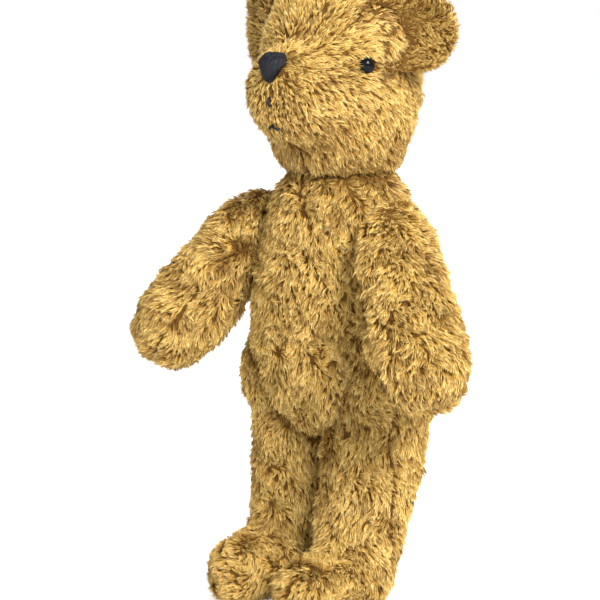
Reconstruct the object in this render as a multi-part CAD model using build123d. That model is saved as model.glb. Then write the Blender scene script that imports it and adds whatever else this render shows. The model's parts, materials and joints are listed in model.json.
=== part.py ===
from build123d import *
from math import cos, radians, sin
import os

# A jointed teddy bear of plush fabric over loose stuffing, standing on its soles.
# Millimetres. +Z is up, the bear faces -Y and its left side is +X.
# The origin is on the ground under the middle of the bear's box.

# Driving dimensions
PLUSH = 3.5            # plush fabric, backing and flattened pile
GAP = 0.6              # between two pieces that move against each other
BODY_Y = 19.4          # the body's upright axis, behind the origin
FAR = 400              # larger than the whole bear

NECK_Z = 228           # level of the neck joint
NECK_R = 32
SHOULDER = (37, -12, 195)
SHOULDER_TILT = 14     # degrees that the shoulder axis rises outwards
SHOULDER_R = 25
HIP = (13, 0, 120)     # inner face of the hip joint
HIP_R = 37             # round top of the thigh
HIP_REACH = 33.5       # half depth of a swinging leg, below the hip joint
BACK_SWING = 25        # degrees cleared behind the legs
LEG_X = 26             # the leg's middle, from the bear's middle plane
STRIDE = {1: 11, -1: 0}  # how far each foot stands forward, left then right
CROTCH_R = 34          # round bottom of the pelvis between the thighs

DISC_R = 15            # hardboard joint discs of the neck and the hips
SHOULDER_DISC_R = 10   # and of the shoulders
DISC_T = 2.5
WASHER_R = 6
WASHER_T = 1
PIN_R = 1.5
PIN_CLEARANCE = 0.05
CURL_ROOM = 4          # hollows in the stuffing for a pin's curled ends and for its eye
EYE_ROOM = 9
EYE_R = 4.4
EYE = (34.8, -26, 288)
NOSE_Z = 287
NOSE_RINGS = [(52, 9, 8), (60, 8.5, 7.5), (64, 5, 4.5)]  # how far forward, half width, half height
MOUTH_HALF = 0.8       # half width of the line of mouth stitches
MOUTH_LOW, MOUTH_HIGH = 256, 273
GUSSET_HALF = 16       # half width of the panel between the head's two sides
GUSSET_LOW = 254
EAR_R = 23.5
EAR_LAYER = 3.5        # thickness of each of an ear's two fabric layers
EAR_MIDDLE = (49.3, -7, 305.5)
EAR_TURN = 36          # degrees that each ear faces outwards
EAR_BOWL = 32          # radius of the hollow in the ear
EAR_DEPTH = 6          # depth of the hollow, behind the ear's middle

# Sections: height, half width, half depth, forward shift of the middle
TORSO_RINGS = [(84, 26, 24, 0), (94, 42, 36, 0), (110, 50, 43, 0), (135, 53, 45.5, 0),
               (160, 53, 45, 0), (185, 49, 41, 0), (208, 43, 37, 0), (NECK_Z, NECK_R, NECK_R, 0)]
SKULL_RINGS = [(NECK_Z + GAP, NECK_R, NECK_R + 0.5, 0.5), (238, 34.5, 34.5, 1.5), (252, 39.5, 38.5, 1.5),
               (270, 43.5, 40.5, 0), (290, 44.5, 41, 0), (308, 42.5, 39, 0), (323, 35.5, 33.5, 0),
               (333, 25, 24, 0), (338, 13, 12, 0)]
LEG_RINGS = [(124, 25, 33.5, 0), (98, 25, 33, 0.5), (72, 25, 30, 3), (50, 24.5, 26.5, 7),
             (30, 23.5, 24.5, 11.5), (12, 21, 22, 13)]
FOOT_RINGS = [(0, 20.5, 37, 32), (5, 22.5, 40.5, 32), (14, 24, 42.5, 32), (24, 22.5, 40, 32),
              (33, 16, 30, 30)]
# Muzzle sections: how far forward, half width, half height, height of the middle
MUZZLE_RINGS = [(15, 32, 31, 272), (34, 29.5, 29.5, 271.5), (48, 25.5, 26, 273.5), (57, 18, 19, 277),
                (61.5, 8, 9, 282)]
# Arm sections on the line from the shoulder to the paw: distance, half width, half thickness
ARM_START = (46, -19, 196)
ARM_RUN = (36, -24, -54)
ARM_RINGS = [(-20, 9, 8), (-14, 17, 16), (0, 23.5, 22), (28, 25.5, 24), (56, 27, 25.5),
             (74, 25, 23.5), (86, 18, 17), (92, 9, 9)]
# Round pad of the arm on the shoulder: distance from the shoulder's flat face, radius
ARM_PAD_RINGS = [(0, SHOULDER_R), (8, 24.5), (17, 19.5), (25, 11)]
# Thigh sections on the hip's axis: distance, radius
THIGH_RINGS = [(GAP, HIP_R), (16, HIP_R), (27, 34.5), (34.5, 26), (38.5, 14)]

os.makedirs("parts", exist_ok=True)
BODY_PLACE = Pos(0, BODY_Y, 0)


def save(name, shape):
    solids = [BODY_PLACE * solid for solid in shape.solids()]
    export_step(solids[0] if len(solids) == 1 else Compound(children=solids), f"parts/{name}.step")


def mirrored(shape, side):
    return shape if side > 0 else mirror(shape, about=Plane.YZ)


def side_name(side):
    return "left" if side > 0 else "right"


def block(low, high):
    """A box from its lowest to its highest corner."""
    size = [top - bottom for bottom, top in zip(low, high)]
    middle = [(top + bottom) / 2 for bottom, top in zip(low, high)]
    return Pos(*middle) * Box(*size)


def upright_loft(rings, skin, middle_x=0):
    """A rounded form through level ellipses, its surface drawn in by the given skin."""
    return loft([Pos(middle_x, -shift, height) * Ellipse(half_width - skin, half_depth - skin)
                 for height, half_width, half_depth, shift in rings])


def shrunk_ends(rings, skin, low=True, high=True):
    """The same rings, with the end rings moved inwards by the skin."""
    moved = list(rings)
    if low:
        moved[0] = (rings[0][0] + skin, *rings[0][1:])
    if high:
        moved[-1] = (rings[-1][0] - skin, *rings[-1][1:])
    return moved


def rod(axis_plane, radius, start, end):
    """A round rod on the plane's normal, between two distances from its origin."""
    return axis_plane * Pos(0, 0, (start + end) / 2) * Cylinder(radius, end - start)


# Joint axes. Each plane's origin is where the two bodies meet, its normal leaves the torso.
NECK_AXIS = Plane(origin=(0, 0, NECK_Z), x_dir=(1, 0, 0), z_dir=(0, 0, 1))
SHOULDER_AXIS = Plane(origin=SHOULDER, x_dir=(0, 1, 0),
                      z_dir=(cos(radians(SHOULDER_TILT)), 0, sin(radians(SHOULDER_TILT))))
HIP_AXIS = Plane(origin=HIP, x_dir=(0, 1, 0), z_dir=(1, 0, 0))
HIP_LINE = Plane(origin=(0, 0, HIP[2]), x_dir=(0, 1, 0), z_dir=(1, 0, 0))


# Torso

def arm_side(skin):
    """Everything outside the left shoulder's flat face, where only the arm swings."""
    return SHOULDER_AXIS * Pos(0, 0, FAR / 2 - skin) * Box(FAR, FAR, FAR)


def hip_room(side, skin):
    """The round space that each thigh turns in."""
    return mirrored(rod(HIP_LINE, HIP_R + GAP + skin, HIP[0] - skin, FAR), side)


def leg_sweep(skin):
    """The space below and in front of the pelvis that both legs swing through."""
    reach = HIP_REACH + GAP + skin
    front = block((-FAR, -FAR, -FAR), (FAR, 0, HIP[2] + reach))
    back_swing = Pos(0, 0, HIP[2]) * Rot(X=BACK_SWING) * block((-FAR, -FAR, -FAR), (FAR, reach, 0))
    return front + back_swing - rod(HIP_LINE, CROTCH_R - skin, -FAR, FAR)


def torso_form(skin):
    rings = shrunk_ends(TORSO_RINGS, skin)
    form = upright_loft(rings, skin) - leg_sweep(skin)
    for side in (1, -1):
        form -= hip_room(side, skin)
        form -= mirrored(arm_side(skin), side)
    return form


def cut_quarters(shell, name):
    """Four panels that meet at the front, back and side seams."""
    for side in (1, -1):
        for face, low, high in (("front", -FAR, 0), ("back", 0, FAR)):
            quarter = mirrored(block((0, low, -FAR), (FAR, high, FAR)), side)
            save(f"{name}_{face}_{side_name(side)}_plush", shell & quarter)


# Joint hardware

def pin_solid(axis_plane, inside, outside):
    """A cotter pin: an eye in the limb, a shank, and two ends curled over on the torso's side."""
    shank = rod(axis_plane, PIN_R, -inside - 2, outside + 2)
    eye = axis_plane * Pos(0, 0, outside + 4) * Rot(X=90) * Torus(3, 1)
    curl = axis_plane * Pos(0, 0, -inside - 2.2) * Box(9, 1.8, 1.4)
    return shank + eye + curl


def joint_pieces(axis_plane, disc_r):
    """Discs, washers and pin of one joint, and the room they take in the torso and in the limb."""
    body_end = PLUSH + DISC_T + WASHER_T
    limb_start = GAP + PLUSH
    limb_end = limb_start + DISC_T + WASHER_T
    hole = rod(axis_plane, PIN_R + PIN_CLEARANCE, -FAR / 4, FAR / 4)
    return {
        "body_disc": rod(axis_plane, disc_r, -PLUSH - DISC_T, -PLUSH) - hole,
        "body_washer": rod(axis_plane, WASHER_R, -body_end, -PLUSH - DISC_T) - hole,
        "limb_disc": rod(axis_plane, disc_r, limb_start, limb_start + DISC_T) - hole,
        "limb_washer": rod(axis_plane, WASHER_R, limb_start + DISC_T, limb_end) - hole,
        "pin": pin_solid(axis_plane, body_end, limb_end),
        "body_room": rod(axis_plane, disc_r, -PLUSH - DISC_T, -PLUSH)
        + rod(axis_plane, WASHER_R, -body_end - CURL_ROOM, -PLUSH),
        "limb_room": rod(axis_plane, disc_r, limb_start, limb_start + DISC_T)
        + rod(axis_plane, WASHER_R, limb_start, limb_end + EYE_ROOM),
        "hole": hole,
    }


neck = joint_pieces(NECK_AXIS, DISC_R)
shoulder = joint_pieces(SHOULDER_AXIS, SHOULDER_DISC_R)
hip = joint_pieces(HIP_AXIS, DISC_R)


def make_torso():
    outer = torso_form(0)
    inner = torso_form(PLUSH)
    holes = neck["hole"]
    rooms = neck["body_room"]
    washers = neck["body_washer"]
    for joint in (shoulder, hip):
        for side in (1, -1):
            holes += mirrored(joint["hole"], side)
            rooms += mirrored(joint["body_room"], side)
            washers += mirrored(joint["body_washer"], side)
    cut_quarters(outer - inner - holes, "torso")
    save("torso_stuffing", inner - rooms)
    save("torso_joint_washers", washers)
    save("neck_torso_disc", neck["body_disc"])
    for side in (1, -1):
        save(f"{side_name(side)}_shoulder_torso_disc", mirrored(shoulder["body_disc"], side))
        save(f"{side_name(side)}_hip_torso_disc", mirrored(hip["body_disc"], side))


# Head

def muzzle(skin):
    rings = shrunk_ends(MUZZLE_RINGS, skin, low=False)
    return loft([Plane(origin=(0, -forward, height), x_dir=(1, 0, 0), z_dir=(0, -1, 0))
                 * Ellipse(half_width - skin, half_height - skin)
                 for forward, half_width, half_height, height in rings])


def head_form(skin):
    return upright_loft(shrunk_ends(SKULL_RINGS, skin), skin) + muzzle(skin)


def ear_layer(inner_radius):
    """One layer of the cupped ear: a piece of a thick ball, open towards the front."""
    centre = Plane(origin=EAR_MIDDLE, x_dir=(cos(radians(EAR_TURN)), sin(radians(EAR_TURN)), 0),
                   z_dir=(sin(radians(EAR_TURN)), -cos(radians(EAR_TURN)), 0))
    shell = Sphere(inner_radius + EAR_LAYER) - Sphere(inner_radius)
    ball = centre * Pos(0, 0, EAR_BOWL - EAR_DEPTH) * shell
    return ball & rod(centre, EAR_R, -EAR_BOWL, EAR_BOWL - EAR_DEPTH)


def make_head():
    outer = head_form(0)
    inner = head_form(PLUSH)
    shell = outer - inner - neck["hole"]
    eyes = {}
    for side in (1, -1):
        eyes[side] = mirrored(Pos(*EYE) * Sphere(EYE_R), side)
        shell -= eyes[side]
    nose = loft([Plane(origin=(0, -forward, NOSE_Z), x_dir=(1, 0, 0), z_dir=(0, -1, 0))
                 * Ellipse(wide, high) for forward, wide, high in NOSE_RINGS]) - outer
    line = block((-MOUTH_HALF, -FAR, MOUTH_LOW), (MOUTH_HALF, -MUZZLE_RINGS[1][0], MOUTH_HIGH))
    mouth = line & (muzzle(-1) - muzzle(0))
    save("nose_stitching", nose)
    save("mouth_stitching", mouth)
    middle = block((-GUSSET_HALF, -FAR, GUSSET_LOW), (GUSSET_HALF, FAR, FAR))
    save("head_gusset_plush", shell & middle)
    for side in (1, -1):
        name = side_name(side)
        half = mirrored(block((0, -FAR, -FAR), (FAR, FAR, FAR)), side)
        save(f"head_{name}_plush", (shell & half) - middle)
        save(f"{name}_eye", eyes[side])
        front = mirrored(ear_layer(EAR_BOWL), side) - outer
        back = mirrored(ear_layer(EAR_BOWL + EAR_LAYER), side) - outer
        save(f"{name}_ear_front_plush", front)
        save(f"{name}_ear_back_plush", back)
    save("head_stuffing", inner - neck["limb_room"] - eyes[1] - eyes[-1])
    save("neck_head_disc", neck["limb_disc"])
    save("neck_head_washer", neck["limb_washer"])
    save("neck_cotter_pin", neck["pin"])


# Arms

def unit(vector):
    length = sum(value * value for value in vector) ** 0.5
    return tuple(value / length for value in vector)


ARM_DIRECTION = unit(ARM_RUN)
ARM_ACROSS = unit((ARM_DIRECTION[2], 0, -ARM_DIRECTION[0]))


def arm_form(skin):
    """The left arm: a round pad on the shoulder, and a rounded form out to the paw."""
    rings = shrunk_ends(ARM_RINGS, skin)
    planes = [Plane(origin=tuple(s + distance * d for s, d in zip(ARM_START, ARM_DIRECTION)),
                    x_dir=(-ARM_ACROSS[0], 0, -ARM_ACROSS[2]), z_dir=ARM_DIRECTION)
              for distance, _, _ in rings]
    limb = loft([plane * Ellipse(thick - skin, wide - skin)
                 for plane, (_, wide, thick) in zip(planes, rings)])
    pad = loft([SHOULDER_AXIS * Pos(0, 0, height) * Circle(radius - skin)
                for height, radius in shrunk_ends(ARM_PAD_RINGS, skin, low=False)])
    inside = SHOULDER_AXIS * Pos(0, 0, -FAR / 2 + GAP + skin) * Box(FAR, FAR, FAR)
    return limb + pad - inside


def make_arms():
    outer = arm_form(0)
    inner = arm_form(PLUSH)
    shell = outer - inner - shoulder["hole"]
    seam = Plane(origin=ARM_START, x_dir=(0, 1, 0), z_dir=(-ARM_ACROSS[0], 0, -ARM_ACROSS[2]))
    inner_side = seam * Pos(0, 0, -FAR / 2) * Box(FAR, FAR, FAR)
    stuffing = inner - shoulder["limb_room"]
    for side in (1, -1):
        name = side_name(side)
        save(f"{name}_arm_inner_plush", mirrored(shell & inner_side, side))
        save(f"{name}_arm_outer_plush", mirrored(shell - inner_side, side))
        save(f"{name}_arm_stuffing", mirrored(stuffing, side))
        save(f"{name}_shoulder_arm_disc", mirrored(shoulder["limb_disc"], side))
        save(f"{name}_shoulder_arm_washer", mirrored(shoulder["limb_washer"], side))
        save(f"{name}_shoulder_cotter_pin", mirrored(shoulder["pin"], side))


# Legs

def strided(rings, stride):
    """The same rings, carried forward as the leg stands, in full at the ground."""
    return [(height, wide, deep, shift + stride * (1 - height / HIP[2]))
            for height, wide, deep, shift in rings]


def leg_form(skin, stride):
    """A left leg: a round thigh on the hip, the shaft, and the foot with its flat sole."""
    thigh = loft([HIP_AXIS * Pos(0, 0, distance) * Circle(radius - skin)
                  for distance, radius in shrunk_ends(THIGH_RINGS, skin)])
    shaft = upright_loft(shrunk_ends(strided(LEG_RINGS, stride), skin), skin, LEG_X)
    foot = upright_loft(shrunk_ends(strided(FOOT_RINGS, stride), skin), skin, LEG_X)
    pelvis = rod(HIP_LINE, CROTCH_R + GAP + skin, -FAR, HIP[0] + GAP + skin)
    return thigh + (shaft - pelvis) + foot


def make_legs():
    below = block((-FAR, -FAR, -FAR), (FAR, FAR, PLUSH))
    inner_side = block((-FAR, -FAR, -FAR), (LEG_X, FAR, FAR))
    for side in (1, -1):
        name = side_name(side)
        outer = leg_form(0, STRIDE[side])
        inner = leg_form(PLUSH, STRIDE[side])
        upper = outer - inner - hip["hole"] - below
        stuffing = inner - hip["limb_room"]
        save(f"{name}_sole_plush", mirrored(outer & below, side))
        save(f"{name}_leg_inner_plush", mirrored(upper & inner_side, side))
        save(f"{name}_leg_outer_plush", mirrored(upper - inner_side, side))
        save(f"{name}_leg_stuffing", mirrored(stuffing, side))
        save(f"{name}_hip_leg_disc", mirrored(hip["limb_disc"], side))
        save(f"{name}_hip_leg_washer", mirrored(hip["limb_washer"], side))
        save(f"{name}_hip_cotter_pin", mirrored(hip["pin"], side))


make_torso()
make_head()
make_arms()
make_legs()
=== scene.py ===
import json
import math

import bpy
import numpy as np
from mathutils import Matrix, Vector
from mathutils.bvhtree import BVHTree


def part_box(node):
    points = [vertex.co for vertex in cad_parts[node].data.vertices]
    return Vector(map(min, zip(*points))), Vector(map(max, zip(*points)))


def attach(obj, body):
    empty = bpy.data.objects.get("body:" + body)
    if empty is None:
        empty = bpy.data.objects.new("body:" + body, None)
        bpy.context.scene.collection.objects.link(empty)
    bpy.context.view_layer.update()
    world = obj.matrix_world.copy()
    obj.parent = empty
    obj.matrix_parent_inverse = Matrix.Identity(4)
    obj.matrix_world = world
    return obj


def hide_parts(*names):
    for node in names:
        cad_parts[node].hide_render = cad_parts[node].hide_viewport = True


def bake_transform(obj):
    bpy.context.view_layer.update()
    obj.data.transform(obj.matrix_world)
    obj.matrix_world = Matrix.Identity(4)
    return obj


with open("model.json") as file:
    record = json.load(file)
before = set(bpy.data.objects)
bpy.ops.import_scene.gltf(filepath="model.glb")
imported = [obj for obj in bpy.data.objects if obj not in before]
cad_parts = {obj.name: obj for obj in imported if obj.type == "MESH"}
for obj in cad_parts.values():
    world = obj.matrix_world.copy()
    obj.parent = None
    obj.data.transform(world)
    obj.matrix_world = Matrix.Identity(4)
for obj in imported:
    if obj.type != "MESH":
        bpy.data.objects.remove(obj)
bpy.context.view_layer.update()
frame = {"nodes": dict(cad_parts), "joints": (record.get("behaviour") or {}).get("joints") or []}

# A plush bear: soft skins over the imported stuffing, a pile of separate tufts on each skin,
# stitched nose and mouth, bead eyes, and the joint hardware inside. Metres throughout.

MM = 0.001
NODES = frame["nodes"]
JOINTS = {joint["name"]: joint for joint in frame["joints"]}
NECK = Vector(JOINTS["neck_turn"]["pos_m"])
BODY_Y = NECK.y
SIDES = {"left": 1, "right": -1}

VOXEL = 5 * MM               # size of the cloth's faces before they are divided
CLOTH_FRAMES = 20
CLOTH_PRESSURE = 4
SWELL_CAP = 2.5 * MM         # how far the cloth may move
LEG_X = 26 * MM              # each leg's middle, sideways
EYE_SUNK = 1.2 * MM          # the bead's middle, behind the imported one's


# ---------------------------------------------------------------- mesh helpers

def new_object(name, mesh):
    made = bpy.data.objects.new(name, mesh)
    bpy.context.scene.collection.objects.link(made)
    return made


def mesh_from(name, points, faces, smooth=True):
    mesh = bpy.data.meshes.new(name)
    mesh.from_pydata([tuple(p) for p in points], [], [tuple(f) for f in faces])
    mesh.polygons.foreach_set("use_smooth", np.full(len(mesh.polygons), smooth))
    mesh.update()
    return mesh


def joined(*forms):
    """One form, points and faces, of several."""
    points, faces = [], []
    for more_points, more_faces in forms:
        start = len(points)
        points += list(more_points)
        faces += [[start + i for i in face] for face in more_faces]
    return points, faces


def node_form(*names):
    """The points and faces of CAD nodes."""
    meshes = [NODES[name].data for name in names]
    return joined(*(([v.co.copy() for v in mesh.vertices], [list(p.vertices) for p in mesh.polygons])
                    for mesh in meshes))


def ring_form(rings, middle_x=0, across=48):
    """A closed form through level ellipses: height, half width, half depth, forward shift, in mm."""
    points, faces = [], []
    for height, wide, deep, shift in rings:
        for turn in np.linspace(0, 2 * np.pi, across, endpoint=False):
            ring_point = Vector((wide * math.cos(turn), deep * math.sin(turn) - shift, height)) * MM
            points.append(ring_point + Vector((middle_x, BODY_Y, 0)))
    for level in range(len(rings) - 1):
        low, high = level * across, (level + 1) * across
        for i in range(across):
            j = (i + 1) % across
            faces.append([low + i, low + j, high + j, high + i])
    faces.append(list(range(across))[::-1])
    faces.append([(len(rings) - 1) * across + i for i in range(across)])
    return points, faces


def tube_form(path, radius, sides=8):
    """A round thread along a path of points, closed and tapered at both ends."""
    points, faces = [], []
    for index, place in enumerate(path):
        ahead = path[min(index + 1, len(path) - 1)] - path[max(index - 1, 0)]
        first = ahead.normalized().orthogonal()
        first = (first - ahead.normalized() * first.dot(ahead.normalized())).normalized()
        second = ahead.normalized().cross(first)
        size = radius * (0.45 if index in (0, len(path) - 1) else 1)
        for i in range(sides):
            turn = 2 * math.pi * i / sides
            points.append(place + (first * math.cos(turn) + second * math.sin(turn)) * size)
    for level in range(len(path) - 1):
        for i in range(sides):
            j = (i + 1) % sides
            low, high = level * sides, (level + 1) * sides
            faces.append([low + i, low + j, high + j, high + i])
    faces.append(list(range(sides))[::-1])
    faces.append([(len(path) - 1) * sides + i for i in range(sides)])
    return points, faces


def evaluated(obj):
    """The mesh of an object with its modifiers applied."""
    graph = bpy.context.evaluated_depsgraph_get()
    return bpy.data.meshes.new_from_object(obj.evaluated_get(graph))


def bake_modifiers(obj):
    mesh = evaluated(obj)
    obj.modifiers.clear()
    old = obj.data
    obj.data = mesh
    bpy.data.meshes.remove(old)


def coordinates(mesh, of="vertices", key="co"):
    values = np.zeros(len(getattr(mesh, of)) * 3, np.float32)
    getattr(mesh, of).foreach_get(key, values)
    return values.reshape(-1, 3).astype(float)


def place_points(mesh, points):
    mesh.vertices.foreach_set("co", points.astype(np.float32).ravel())
    mesh.update()


def unit(vectors):
    return vectors / np.maximum(np.linalg.norm(vectors, axis=1), 1e-9)[:, None]


def wave_noise(points, size, seed, waves=7):
    """Three smooth random numbers a point, about -1 to 1, varying over the given size."""
    draw = np.random.default_rng(seed)
    direction = draw.normal(size=(waves, 3))
    direction *= (2 * np.pi / size) / np.linalg.norm(direction, axis=1)[:, None]
    direction *= draw.uniform(0.6, 1.6, (waves, 1))
    phase = draw.uniform(0, 2 * np.pi, (waves, 1))
    weight = draw.normal(size=(waves, 3)) / math.sqrt(waves / 2)
    return np.sin(direction @ points.T + phase).T @ weight


# ---------------------------------------------------------------- materials

def principled(name, colour, roughness=0.8, **sockets):
    material = bpy.data.materials.new(name)
    material.use_nodes = True
    shader = material.node_tree.nodes["Principled BSDF"]
    shader.inputs["Base Color"].default_value = (*colour, 1)
    shader.inputs["Roughness"].default_value = roughness
    for key, value in sockets.items():
        shader.inputs[key.replace("_", " ")].default_value = value
    return material


def patterned(material, colours, scale, bump=0.3, stretch=(1, 1, 1)):
    """Adds noise in object space to a material's colour and relief."""
    tree = material.node_tree
    shader = tree.nodes["Principled BSDF"]
    place = tree.nodes.new("ShaderNodeTexCoord")
    mapping = tree.nodes.new("ShaderNodeMapping")
    mapping.inputs["Scale"].default_value = stretch
    noise = tree.nodes.new("ShaderNodeTexNoise")
    noise.inputs["Scale"].default_value = scale
    noise.inputs["Detail"].default_value = 6
    blend = tree.nodes.new("ShaderNodeValToRGB")
    for element, position, colour in zip(blend.color_ramp.elements, (0.3, 0.7), colours):
        element.position = position
        element.color = (*colour, 1)
    relief = tree.nodes.new("ShaderNodeBump")
    relief.inputs["Strength"].default_value = bump
    relief.inputs["Distance"].default_value = MM
    tree.links.new(place.outputs["Object"], mapping.inputs["Vector"])
    tree.links.new(mapping.outputs["Vector"], noise.inputs["Vector"])
    tree.links.new(noise.outputs["Fac"], blend.inputs["Fac"])
    tree.links.new(blend.outputs["Color"], shader.inputs["Base Color"])
    tree.links.new(noise.outputs["Fac"], relief.inputs["Height"])
    tree.links.new(relief.outputs["Normal"], shader.inputs["Normal"])
    return material


# Each tuft's root, middle and tip in four tones of golden plush: browner as they darken.
# The tones give the pile's random variation and also carry painted light and painted shade; the darkest one is
# painted shade in creases between parts.
TONES = {"fold": 0.48, "deep": 0.74, "gold": 1.0, "pale": 1.25}
BROWNING = (1, 1.25, 1.6)
# Darkest at the root: painted shade deep in the pile, over the fibre's own colour.
LEVELS = {"root": (0.28, 0.125, 0.018), "middle": (0.56, 0.33, 0.068), "tip": (0.75, 0.54, 0.175)}
PILE = [principled(f"pile_{tone}_{level}", tuple(c * gain ** power for c, power in zip(colour, BROWNING)),
                   0.5, Specular_IOR_Level=0.35)
        for tone, gain in TONES.items() for level, colour in LEVELS.items()]

# The backing cloth, coloured dark as painted shade in the gaps between tufts, over its own brown.
BACKING = patterned(principled("plush_backing", (0.2, 0.11, 0.035), 0.95, Specular_IOR_Level=0.1),
                    ((0.08, 0.036, 0.007), (0.17, 0.085, 0.018)), 900, 0.6)
HARDBOARD = patterned(principled("hardboard", (0.2, 0.11, 0.05), 0.75),
                      ((0.15, 0.08, 0.035), (0.30, 0.18, 0.085)), 700, 0.25)
STEEL = patterned(principled("turned_steel", (0.55, 0.55, 0.56), 0.32, Metallic=1.0),
                  ((0.42, 0.42, 0.43), (0.62, 0.62, 0.63)), 300, 0.1, (1, 1, 12))
GLASS_BLACK = patterned(principled("eye_bead", (0.004, 0.004, 0.005), 0.12, Specular_IOR_Level=0.15),
                        ((0.003, 0.003, 0.004), (0.006, 0.006, 0.008)), 400, 0.02)
THREAD = patterned(principled("satin_thread", (0.008, 0.009, 0.012), 0.5, Specular_IOR_Level=0.3),
                   ((0.005, 0.005, 0.008), (0.016, 0.018, 0.025)), 1500, 0.2)


def clad(piece, *materials):
    piece.data.materials.clear()
    for material in materials:
        piece.data.materials.append(material)


for name, node in NODES.items():
    if name.endswith("_disc"):
        clad(node, HARDBOARD)
    elif name.endswith(("_washer", "_washers", "_pin")):
        clad(node, STEEL)


# ---------------------------------------------------------------- skins

def soft_form(name, form, voxel=VOXEL, smooth=2):
    """A closed cloth form: evenly remeshed and smoothed."""
    skin = new_object(name, mesh_from(name, *form))
    remesh = skin.modifiers.new("even", "REMESH")
    remesh.mode = "VOXEL"
    remesh.voxel_size = voxel
    smoothing = skin.modifiers.new("smooth", "SMOOTH")
    smoothing.factor = 0.5
    smoothing.iterations = smooth
    bake_modifiers(skin)
    return skin


def ear_form(side):
    """The cupped ear, carried a little way into the head."""
    points, faces = node_form(f"{side}_ear_front_plush", f"{side}_ear_back_plush")
    into = Vector((-0.81 * SIDES[side], -0.59, 0)) * 5.5 * MM
    return joined((points, faces), ([point + into * 0.5 for point in points], faces),
                  ([point + into for point in points], faces))


def swell(caps):
    """Fills the cloth forms: pressure against the cloth, no point moving further than its cap."""
    starts = {skin: coordinates(skin.data) for skin in caps}
    for skin in caps:
        cloth = skin.modifiers.new("cloth", "CLOTH")
        cloth.settings.use_pressure = True
        cloth.settings.uniform_pressure_force = CLOTH_PRESSURE
        cloth.settings.effector_weights.gravity = 0
        cloth.point_cache.frame_end = CLOTH_FRAMES
    for step in range(1, CLOTH_FRAMES + 1):
        bpy.context.scene.frame_set(step)
    settled = {skin: coordinates(evaluated(skin)) for skin in caps}
    for skin, cap in caps.items():
        skin.modifiers.clear()
        move = settled[skin] - starts[skin]
        far = np.maximum(np.linalg.norm(move, axis=1), 1e-9)[:, None]
        place_points(skin.data, starts[skin] + move * np.minimum(1, cap / far))
    bpy.context.scene.frame_set(1)


def finished_skin(skin, offset):
    """The cloth divided once and set out by the offset."""
    divide = skin.modifiers.new("divide", "SUBSURF")
    divide.levels = divide.render_levels = 1
    push = skin.modifiers.new("out", "DISPLACE")
    push.strength = offset
    push.mid_level = 0
    bake_modifiers(skin)
    skin.data.polygons.foreach_set("use_smooth", np.ones(len(skin.data.polygons), bool))
    clad(skin, BACKING)


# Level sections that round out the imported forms: the trunk with its belly, seat and shoulders
TRUNK_RINGS = [(90, 18, 16, 0), (94, 28, 25, 0), (101, 36, 32, 0), (110, 42, 37.5, 0), (122, 46.5, 41, 0),
               (138, 49, 42.5, 0), (158, 47.5, 42, 0), (182, 42.5, 38, 0), (203, 40, 34.5, 0),
               (213, 37, 32.5, 0), (221, 32, 30.5, 0), (229, 27, 27, 0), (236, 20, 20, 0)]
THIGH_RINGS = [(60, 20, 24, 4), (80, 21.5, 28, 2), (100, 22, 30, 0.5), (120, 21.5, 30.5, 0), (134, 18, 27, 0)]

skins = {"torso": soft_form("torso_skin", joined(node_form("torso_stuffing"), ring_form(TRUNK_RINGS))),
         "head": soft_form("head_skin", node_form("head_stuffing"))}
for side, k in SIDES.items():
    skins[f"{side}_arm"] = soft_form(f"{side}_arm_skin", node_form(f"{side}_arm_stuffing"))
    leg = joined(node_form(f"{side}_leg_stuffing"), ring_form(THIGH_RINGS, LEG_X * k))
    skins[f"{side}_leg"] = soft_form(f"{side}_leg_skin", leg)
swell({skin: SWELL_CAP for skin in skins.values()})
for side in SIDES:
    skins[f"{side}_ear"] = soft_form(f"{side}_ear_skin", ear_form(side), 3 * MM, 3)

SET_OUT = {"torso": 0.8, "head": 1.6, "arm": 1.0, "leg": 1.4, "ear": -2.0}
for name, skin in skins.items():
    kind = name.split("_")[-1]
    finished_skin(skin, SET_OUT[kind] * MM)


# ---------------------------------------------------------------- seams

class Seam:
    """A sewn line: where a plane cuts a skin, as far as reach says. The pile parts and darkens there."""

    def __init__(self, point, normal, reach=None, width=1.7 * MM, depth=1.5 * MM, dark=1.4):
        self.point, self.normal = np.array(point, float), unit(np.array([normal], float))[0]
        self.reach, self.width, self.depth, self.dark = reach, width, depth, dark

    def near(self, points):
        away = (points - self.point) @ self.normal
        weight = np.exp(-(away / self.width) ** 2)
        if self.reach is not None:
            weight = weight * self.reach(points)
        return weight, np.sign(away)[:, None] * self.normal


def ramp(values, low, high):
    return np.clip((values - low) / (high - low), 0, 1)


def below_and_above(low, high, soft=6 * MM):
    return lambda p: ramp(p[:, 2], low, low + soft) * (1 - ramp(p[:, 2], high - soft, high))


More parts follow.
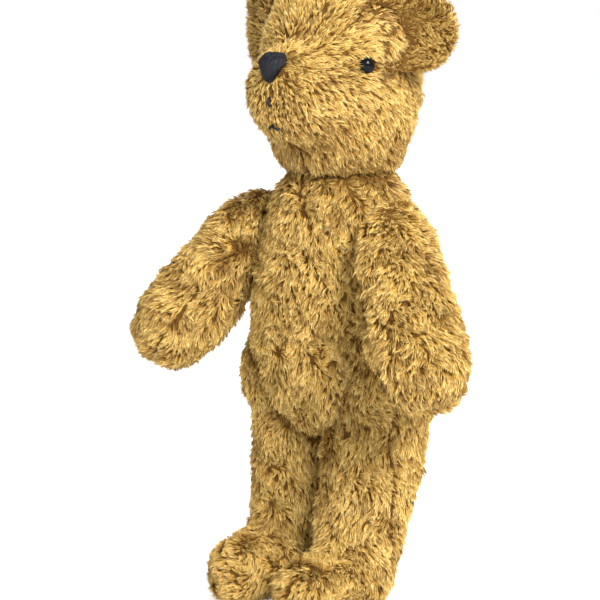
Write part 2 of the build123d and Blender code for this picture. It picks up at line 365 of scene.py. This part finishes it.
ARM_DOWN = {}
SEAMS = {"torso": [Seam((0, BODY_Y, 0), (0, 1, 0), below_and_above(0.10, 0.222)),
                   Seam((0, BODY_Y, 0), (1, 0, 0), lambda p: ramp(p[:, 1], BODY_Y, BODY_Y + 20 * MM))],
         "head": [Seam((0, BODY_Y, 0), (1, 0, 0), lambda p: (1 - ramp(p[:, 2], 0.250, 0.256)), dark=0)]}
for side, k in SIDES.items():
    shoulder = Vector(JOINTS[f"{side}_shoulder_swing"]["pos_m"])
    run = np.array([36 * k, -24, -54.0])
    ARM_DOWN[side] = run / np.linalg.norm(run)
    across = np.array([-54.0 * k, 0, -36])
    SEAMS[f"{side}_arm"] = [Seam(shoulder, across, lambda p, z=shoulder.z: 1 - ramp(p[:, 2], z - 10 * MM, z))]
    SEAMS[f"{side}_leg"] = [Seam((LEG_X * k, BODY_Y - 4 * MM, 0), (0.57 * k, 0.82, 0),
                                 lambda p, k=k: ramp(p[:, 0] * k, LEG_X, LEG_X + 8 * MM)
                                 * below_and_above(0.02, 0.135)(p)),
                            Seam((LEG_X * k, BODY_Y, 0), (1, 0, 0),
                                 lambda p: ramp(p[:, 1], BODY_Y, BODY_Y + 8 * MM))]


def sew(skin, seams):
    """Draws the skin in along its seams."""
    points = coordinates(skin.data)
    normals = coordinates(skin.data, key="normal")
    for seam in seams:
        weight, _ = seam.near(points)
        points = points - normals * (weight * seam.depth)[:, None]
    place_points(skin.data, points)


for name, seams in SEAMS.items():
    sew(skins[name], seams)


# ---------------------------------------------------------------- pile

TUFTS_PER_MM2 = 0.32
HAIRS = 10                 # blades in a tuft
SPREAD = 1.15 * MM         # how far from its middle a tuft's blades start
HAIR_WIDTH = 0.36 * MM
# Over what distances the pile varies: its swirl, its length, its tone and how far it is raised
SWIRL_BROAD, SWIRL_FINE = 26 * MM, 9 * MM
LENGTH_PATCH, TONE_PATCH, RAISED_PATCH = 14 * MM, 22 * MM, 17 * MM
TONE_STEPS = (-1.9, -0.65, 0.5)
# How much darker the pile is drawn in creases between parts: painted shade.
CREASE_PAINTED_SHADE = 2.3


def scatter(mesh, per_mm2, draw):
    """Points spread over a mesh, with the surface's normals there."""
    mesh.calc_loop_triangles()
    corner = np.zeros(len(mesh.loop_triangles) * 3, np.int32)
    mesh.loop_triangles.foreach_get("vertices", corner)
    corner = corner.reshape(-1, 3)
    points = coordinates(mesh)
    normal = coordinates(mesh, key="normal")
    a, b, c = (points[corner[:, i]] for i in range(3))
    area = np.linalg.norm(np.cross(b - a, c - a), axis=1) / 2
    count = int(area.sum() / MM ** 2 * per_mm2)
    # evenly spaced along the running area, so that the cover has few bald spots
    running = np.cumsum(area) / area.sum()
    pick = np.searchsorted(running, (np.arange(count) + draw.random(count)) / count)
    pick = np.minimum(pick, len(area) - 1)
    u, v = draw.random((2, count, 1))
    u, v = np.where(u + v > 1, 1 - u, u), np.where(u + v > 1, 1 - v, v)
    where = a[pick] + u * (b[pick] - a[pick]) + v * (c[pick] - a[pick])
    na, nb, nc = (normal[corner[pick, i]] for i in range(3))
    return where, unit(na + u * (nb - na) + v * (nc - na))


def grow(centre, normal, lay, length, lift, draw):
    """Blade points for tufts: each tuft's blades start apart and lean together towards its tip."""
    count = len(centre)
    side = unit(np.cross(normal, lay))
    angle = draw.uniform(0, 2 * np.pi, (count, HAIRS, 1))
    reach = SPREAD * np.sqrt(draw.random((count, HAIRS, 1)))
    start = (lay[:, None] * np.cos(angle) + side[:, None] * np.sin(angle)) * reach
    size = length[:, None, None] * draw.uniform(0.72, 1.12, (count, HAIRS, 1))
    size = size * np.where(draw.random((count, HAIRS, 1)) < 0.03, 1.3, 1.0)
    tuft_lift = np.clip(lift[:, None, None] + 0.15 * draw.normal(size=(count, 1, 1)), 0.22, 0.95)
    blade_lift = np.clip(tuft_lift + 0.09 * draw.normal(size=(count, HAIRS, 1)), 0.16, 1.0)
    stray = 0.26 * draw.normal(size=(count, 1, 1)) + 0.14 * draw.normal(size=(count, HAIRS, 1))
    rows = []
    for t in (0, 0.34, 0.72, 1):
        gather = 1 - 0.6 * t
        up = normal[:, None] * size * blade_lift * (t - 0.30 * t * t)
        along = (lay[:, None] + side[:, None] * stray) * size * (1 - 0.5 * blade_lift) * t ** 1.35
        rows.append(centre[:, None] + start * gather + up + along - normal[:, None] * 0.4 * MM)
    facing = unit((normal[:, None] + draw.normal(size=(count, HAIRS, 3)) * 0.9).reshape(-1, 3))
    flat = [row.reshape(-1, 3) for row in rows]
    across = unit(np.cross(unit(flat[-1] - flat[0]), facing))
    half = HAIR_WIDTH * draw.uniform(0.7, 1.25, (len(across), 1)) / 2
    points = np.empty((len(across), 6, 3))
    points[:, 0] = flat[0]
    for row, narrow in ((1, 1.0), (2, 0.8)):
        points[:, 2 * row - 1] = flat[row] - across * half * narrow
        points[:, 2 * row] = flat[row] + across * half * narrow
    points[:, 5] = flat[3]
    return points


def pile_mesh(name, points, tone):
    """A mesh of blades pointed at both ends, three faces each, in the shades of its tone."""
    points[..., 2] = np.maximum(points[..., 2], 0.2 * MM)
    blades = len(points)
    mesh = bpy.data.meshes.new(name)
    mesh.vertices.add(blades * 6)
    mesh.vertices.foreach_set("co", points.astype(np.float32).ravel())
    first = (np.arange(blades) * 6)[:, None]
    loops = (first + np.array([0, 2, 1, 1, 2, 4, 3, 3, 4, 5])[None]).ravel()
    mesh.loops.add(len(loops))
    mesh.loops.foreach_set("vertex_index", loops.astype(np.int32))
    mesh.polygons.add(blades * 3)
    starts = (np.arange(blades)[:, None] * 10 + np.array([0, 3, 7])[None]).ravel()
    shades = (tone[:, None] * 3 + np.arange(3)[None]).ravel()
    mesh.polygons.foreach_set("loop_start", starts.astype(np.int32))
    mesh.polygons.foreach_set("material_index", shades.astype(np.int32))
    mesh.polygons.foreach_set("use_smooth", np.ones(blades * 3, bool))
    mesh.update(calc_edges=True)
    for material in PILE:
        mesh.materials.append(material)
    return mesh


def pile(name, skin, lay_field, seed, keep, length=6.6, lift=0.52, swirl=0.45, seams=(), density=1.0,
         shade=None, crease=None):
    """A piece of pile over a skin. lay_field gives the way the pile is combed at each point, shade
    the painted shade there, painted light where it is below zero, and crease how deep in a crease
    between parts it is: the pile is shorter there and darker with painted shade."""
    draw = np.random.default_rng(seed)
    where, normal = scatter(skin.data, TUFTS_PER_MM2 * density, draw)
    chosen = keep(where)
    where, normal = where[chosen], normal[chosen]
    broad, fine = wave_noise(where, SWIRL_BROAD, seed), wave_noise(where, SWIRL_FINE, seed + 1)
    comb = lay_field(where) + swirl * (broad + 0.6 * fine)
    full = length(where) if callable(length) else np.full(len(where), length)
    size = full * (1 + 0.14 * np.clip(wave_noise(where, LENGTH_PATCH, seed + 2)[:, 0], -2, 2)) * MM
    raised = np.full(len(where), lift) + 0.08 * wave_noise(where, RAISED_PATCH, seed + 4)[:, 0]
    parted = np.zeros(len(where))
    for seam in seams:
        weight, away = seam.near(where)
        comb = unit(comb) + away * weight[:, None] * 0.9
        size = size * (1 - 0.2 * weight)
        parted = np.maximum(parted, weight * seam.dark)
    folded = crease(where) if crease is not None else np.zeros(len(where))
    size = size * (1 - 0.35 * folded)
    comb = unit(comb - normal * (comb * normal).sum(1)[:, None])
    points = grow(where, normal, comb, size, raised, draw)
    patch = wave_noise(where, TONE_PATCH, seed + 3)[:, 0] * 0.45 + draw.normal(size=len(where)) * 0.7
    # Painted shade from the shade field, and painted light where it is below zero.
    if shade is not None:
        patch = patch - shade(where)
    # Painted shade in creases between parts; the pile is darker where seams part it too.
    patch = patch - CREASE_PAINTED_SHADE * folded - parted
    change = draw.integers(-1, 2, (len(where), HAIRS)) * (draw.random((len(where), HAIRS)) < 0.55)
    tone = np.clip(np.digitize(patch, TONE_STEPS)[:, None] + change, 0, len(TONES) - 1)
    return new_object(name, pile_mesh(name, points, tone.reshape(-1)))


# The way the pile lies on each part

def lies(direction):
    vector = unit(np.array([direction], float))
    return lambda points: np.repeat(vector, len(points), axis=0)


NOSE = np.array([0, BODY_Y - 62 * MM, 0.285])


def head_lay(points):
    back = unit(points - NOSE)
    crown = ramp(points[:, 2], 0.300, 0.330)[:, None]
    face = ramp(BODY_Y - points[:, 1], 5 * MM, 25 * MM)[:, None]
    down = np.array([0, 0.2, -1.0])
    return back * (0.5 + 0.7 * face) + down * (1 - crown) * (1 - 0.6 * face) + np.array([0, 1.0, 0]) * crown


def painted_neck_shade(points):
    """Painted shade on the pile around the neck and under the chin."""
    return 1.0 * np.exp(-((points[:, 2] - NECK.z - 12 * MM) / (20 * MM)) ** 2)


def painted_head_shade_and_light(points):
    """Painted shade under the chin and at the neck, painted light on the crown."""
    return painted_neck_shade(points) - 0.7 * ramp(points[:, 2], 0.285, 0.305)


def painted_arm_light_and_shade(side):
    """Painted light on the left arm's pile, the side towards the key lamp, and painted shade on the right
    arm's.
    """
    return lambda points: np.full(len(points), {"left": -0.15, "right": 0.35}[side])


def head_length(points):
    return 4.3 + 2.0 * ramp(np.linalg.norm(points - NOSE, axis=1), 12 * MM, 45 * MM)


def ear_lay(side):
    low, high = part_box(f"{side}_ear_back_plush")
    root = np.array([0, (low.y + high.y) / 2, low.z + 8 * MM])
    return lambda points: unit(points - root)


def leg_lay(points):
    instep = (ramp(35 * MM - points[:, 2], 0, 15 * MM) * ramp(BODY_Y - points[:, 1], 25 * MM, 45 * MM))[:, None]
    return np.array([0, 0, -1.0]) * (1 - 0.7 * instep) + np.array([0, -0.9, 0]) * instep


# Which points a piece of pile takes

def both(*tests):
    return lambda points: np.logical_and.reduce([test(points) for test in tests])


def beside(axis, level, sign):
    return lambda points: points[:, axis] * sign >= level * sign


def outside(*names):
    """Keeps the points that aren't inside another skin."""
    graph = bpy.context.evaluated_depsgraph_get()
    trees = [BVHTree.FromObject(skins[name], graph) for name in names]
    boxes = [(coordinates(skins[name].data).min(0), coordinates(skins[name].data).max(0)) for name in names]

    def test(points):
        kept = np.ones(len(points), bool)
        for tree, (low, high) in zip(trees, boxes):
            within = np.all((points > low) & (points < high), axis=1)
            for i in np.nonzero(kept & within)[0]:
                spot, normal, _, far = tree.find_nearest(Vector(points[i]))
                kept[i] = far < 1.5 * MM or (Vector(points[i]) - spot).dot(normal) > -0.75 * far
        return kept
    return test


def close_to(*names, reach=5 * MM):
    """How close points are to another skin, from 0 to 1: the pile is shorter there, and darker with painted
    shade in the crease.
    """
    graph = bpy.context.evaluated_depsgraph_get()
    trees = [BVHTree.FromObject(skins[name], graph) for name in names]

    def weight(points):
        near = np.zeros(len(points))
        for tree in trees:
            for i, point in enumerate(points):
                far = tree.find_nearest(Vector(point), 3 * reach)[3]
                if far is not None:
                    near[i] = max(near[i], math.exp(-(far / reach) ** 2))
        return near
    return weight


def clear_of(centres, radius):
    def test(points):
        return np.logical_and.reduce([np.linalg.norm(points - c, axis=1) > radius for c in centres])
    return test


def dress(piece, body):
    if body.endswith("_leg"):
        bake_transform(piece)
    else:
        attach(piece, body)


def add_pile(name, part, body, lay, seed, keep, **more):
    made = pile(name, skins[part], lay, seed, keep, seams=SEAMS.get(part, ()), **more)
    dress(made, body)


# ---------------------------------------------------------------- face

def on_head(x, z):
    """The point of the head's skin in front of (x, z), and the surface's normal."""
    tree = BVHTree.FromObject(skins["head"], bpy.context.evaluated_depsgraph_get())
    spot, normal, _, _ = tree.ray_cast(Vector((x, BODY_Y - 0.2, z)), Vector((0, 1, 0)))
    return spot, normal


def box_middle(node):
    low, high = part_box(node)
    return (low + high) / 2


EYES = {side: box_middle(f"{side}_eye") for side in SIDES}
NOSE_Z = 287 * MM
NOSE_HALF = 8.6 * MM
NOSE_THREADS = 27


def nose_form():
    """Satin stitches side by side, from an arched top edge down to a blunt point."""
    threads = []
    for step in np.linspace(-1, 1, NOSE_THREADS):
        top = NOSE_Z + (7.4 - 5.0 * step ** 4) * MM
        bottom = NOSE_Z - (8.0 - 8.6 * abs(step) ** 1.7) * MM
        path = []
        for t in np.linspace(0, 1, 11):
            x = NOSE_HALF * step * (1 - 0.25 * t)
            spot, normal = on_head(x, top + (bottom - top) * t)
            crown = (1 - 0.75 * step ** 2) * (1 - (2 * t - 1) ** 4)
            path.append(spot + normal * (1.2 + 2.2 * crown) * MM if 0 < t < 1 else spot - normal * MM)
        threads.append(tube_form(path, 0.42 * MM))
    return joined(*threads)


def mouth_form():
    """Two stitches sunk in the pile below the nose: one upright, one level and bent down."""
    threads = []
    for ends in (((0, 273), (0.1, 268)), ((-3.2, 257.5), (-0.2, 259.5)), ((-0.2, 259.5), (3.0, 257.2))):
        (x0, z0), (x1, z1) = ends
        path = []
        for t in np.linspace(0, 1, 7):
            spot, normal = on_head((x0 + (x1 - x0) * t) * MM, (z0 + (z1 - z0) * t) * MM)
            path.append(spot + normal * (3.0 * math.sin(math.pi * t) ** 0.5 - 0.4) * MM)
        threads.append(tube_form(path, 0.7 * MM))
    return joined(*threads)


def eye_form(centre):
    """A domed bead with a flat back and a stem into the head."""
    out = (centre - Vector((0, BODY_Y + 6 * MM, centre.z))).normalized()
    centre = centre - out * EYE_SUNK
    first = out.cross(Vector((0, 0, 1))).normalized()
    second = out.cross(first)
    profile = [(0, 3.0)] + [(4.4 * math.sin(a), 3.6 * math.cos(a) - 0.6) for a in np.linspace(0.18, 1.75, 14)]
    profile += [(4.0, -2.0), (1.2, -2.5), (1.1, -4.5), (0, -4.5)]
    points, faces, around = [], [], 40
    for radius, height in profile:
        for i in range(around):
            turn = 2 * math.pi * i / around
            points.append(centre + out * height * MM
                          + (first * math.cos(turn) + second * math.sin(turn)) * max(radius, 0.02) * MM)
    for level in range(len(profile) - 1):
        for i in range(around):
            j = (i + 1) % around
            low, high = level * around, (level + 1) * around
            faces.append([low + i, high + i, high + j, low + j])
    return points, faces


def face_piece(name, form, material):
    piece = new_object(f"{name}_piece", mesh_from(name, *form))
    clad(piece, material)
    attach(piece, "head")
    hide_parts(name)


face_piece("nose_stitching", nose_form(), THREAD)
face_piece("mouth_stitching", mouth_form(), THREAD)
for side, centre in EYES.items():
    face_piece(f"{side}_eye", eye_form(centre), GLASS_BLACK)


# ---------------------------------------------------------------- pile pieces

for face, sign, seed in (("front", -1, 11), ("back", 1, 12)):
    for side, k in SIDES.items():
        region = both(beside(1, BODY_Y, sign), beside(0, 0, k),
                      outside("left_leg", "right_leg", f"{side}_arm", "head"))
        # Painted shade on the torso's pile below the neck, and in its crease under the head.
        add_pile(f"torso_{face}_{side}_pile", "torso", "torso", lies((0, 0, -1)), seed + 10 * (k > 0), region,
                 shade=painted_neck_shade, crease=close_to("head"))

GUSSET = 16 * MM
bare_face = both(clear_of([np.array(centre) for centre in EYES.values()], 3.9 * MM),
                 clear_of([NOSE + np.array([0, 0, 2.5 * MM])], 5.5 * MM))
# The head's pile: painted shade under the chin and in its creases, painted light on the crown.
head_pile = {"length": head_length, "lift": 0.38, "swirl": 0.24, "shade": painted_head_shade_and_light}
add_pile("head_gusset_pile", "head", "head", head_lay, 31,
         both(lambda p: np.abs(p[:, 0]) < GUSSET, bare_face), crease=close_to("torso"), **head_pile)
for side, k in SIDES.items():
    add_pile(f"head_{side}_pile", "head", "head", head_lay, 32 + k,
             both(beside(0, GUSSET * k, k), bare_face, outside(f"{side}_ear")),
             crease=close_to("torso", f"{side}_ear"), **head_pile)
    # Painted shade on the ear's pile in its crease against the head.
    add_pile(f"{side}_ear_pile", f"{side}_ear", "head", ear_lay(side), 41 + k, outside("head"),
             length=4.4, lift=0.46, density=1.15, crease=close_to("head"))
    seam_y = box_middle(f"{side}_arm_stuffing").y
    for face, sign, seed in (("front", -1, 51), ("back", 1, 54)):
        # Painted light on the left arm's pile, painted shade on the right arm's.
        add_pile(f"{side}_arm_{face}_pile", f"{side}_arm", f"{side}_arm", lies(ARM_DOWN[side]), seed + k,
                 both(beside(1, seam_y, sign), outside("torso")), shade=painted_arm_light_and_shade(side))
    for face, sign, seed in (("inner", -1, 61), ("outer", 1, 64)):
        # Painted shade on the legs' pile in their crease against the torso.
        add_pile(f"{side}_leg_{face}_pile", f"{side}_leg", f"{side}_leg", leg_lay, seed + k,
                 both(beside(0, LEG_X * k, sign * k), outside("torso")), crease=close_to("torso", reach=3 * MM))

HIDDEN = {"torso": ["torso_stuffing"] + [f"torso_{f}_{s}_plush" for f in ("front", "back") for s in SIDES],
          "head": ["head_stuffing", "head_left_plush", "head_right_plush", "head_gusset_plush"]}
for side in SIDES:
    HIDDEN[f"{side}_ear"] = [f"{side}_ear_front_plush", f"{side}_ear_back_plush"]
    HIDDEN[f"{side}_arm"] = [f"{side}_arm_{part}" for part in ("stuffing", "inner_plush", "outer_plush")]
    HIDDEN[f"{side}_leg"] = [f"{side}_leg_{part}" for part in ("stuffing", "inner_plush", "outer_plush")]
    HIDDEN[f"{side}_leg"].append(f"{side}_sole_plush")
for name, skin in skins.items():
    dress(skin, "head" if name.endswith("_ear") else name)
    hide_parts(*HIDDEN[name])


# ---------------------------------------------------------------- stage, light, camera

FLOOR = [(-4, -4, 0), (4, -4, 0), (4, 4, 0), (-4, 4, 0)]
floor = new_object("floor", mesh_from("floor", FLOOR, [(0, 1, 2, 3)]))
pale = principled("pale_floor", (0.9, 0.9, 0.9), 0.9)
clad(floor, pale)


def brighter_seen(tree, socket, unseen, seen):
    """Sets a socket to one value as the camera sees it and to another for all other light."""
    path = tree.nodes.new("ShaderNodeLightPath")
    strength = tree.nodes.new("ShaderNodeMapRange")
    strength.inputs["To Min"].default_value = unseen
    strength.inputs["To Max"].default_value = seen
    tree.links.new(path.outputs["Is Camera Ray"], strength.inputs["Value"])
    tree.links.new(strength.outputs["Result"], socket)


shader = pale.node_tree.nodes["Principled BSDF"]
shader.inputs["Emission Color"].default_value = (1, 1, 1, 1)
brighter_seen(pale.node_tree, shader.inputs["Emission Strength"], 0, 0.6)


def soft_light(name, place, size, watts, target):
    data = bpy.data.lights.new(name, "AREA")
    data.size = size
    data.energy = watts
    light = bpy.data.objects.new(name, data)
    light.location = place
    light.rotation_mode = "QUATERNION"
    light.rotation_quaternion = (Vector(target) - Vector(place)).to_track_quat("-Z", "Y")
    bpy.context.scene.collection.objects.link(light)


MIDDLE = (0, BODY_Y, 0.17)
soft_light("key", (1.6, -0.65, 1.45), 0.8, 71, MIDDLE)
soft_light("fill", (0.3, -1.8, 0.6), 1.4, 5, MIDDLE)
soft_light("rim", (-0.6, 1.8, 1.3), 1.4, 32, MIDDLE)
world = bpy.data.worlds.new("studio")
world.use_nodes = True
background = world.node_tree.nodes["Background"]
background.inputs["Color"].default_value = (1, 1, 1, 1)
brighter_seen(world.node_tree, background.inputs["Strength"], 0.46, 1.0)
bpy.context.scene.world = world
bpy.context.scene.view_settings.view_transform = "Standard"

AZIMUTH, ELEVATION, DISTANCE = math.radians(38), math.radians(11), 0.9
# The camera aims below the neck, and a little left of and below that as it sees it.
AIM_BELOW_NECK, AIM_LEFT, AIM_DOWN = 0.058, 0.0221, 0.0097
towards = Vector((math.sin(AZIMUTH) * math.cos(ELEVATION), -math.cos(AZIMUTH) * math.cos(ELEVATION),
                  math.sin(ELEVATION)))
right = Vector((math.cos(AZIMUTH), math.sin(AZIMUTH), 0))
camera_data = bpy.data.cameras.new("camera")
camera_data.lens = 100
camera_data.clip_start = 0.01
camera = bpy.data.objects.new("camera", camera_data)
camera.location = (Vector((0, BODY_Y, NECK.z - AIM_BELOW_NECK)) + towards * DISTANCE - right * AIM_LEFT
                   - towards.cross(right) * AIM_DOWN)
camera.rotation_mode = "QUATERNION"
camera.rotation_quaternion = (-towards).to_track_quat("-Z", "Y")
bpy.context.scene.collection.objects.link(camera)
bpy.context.scene.camera = camera
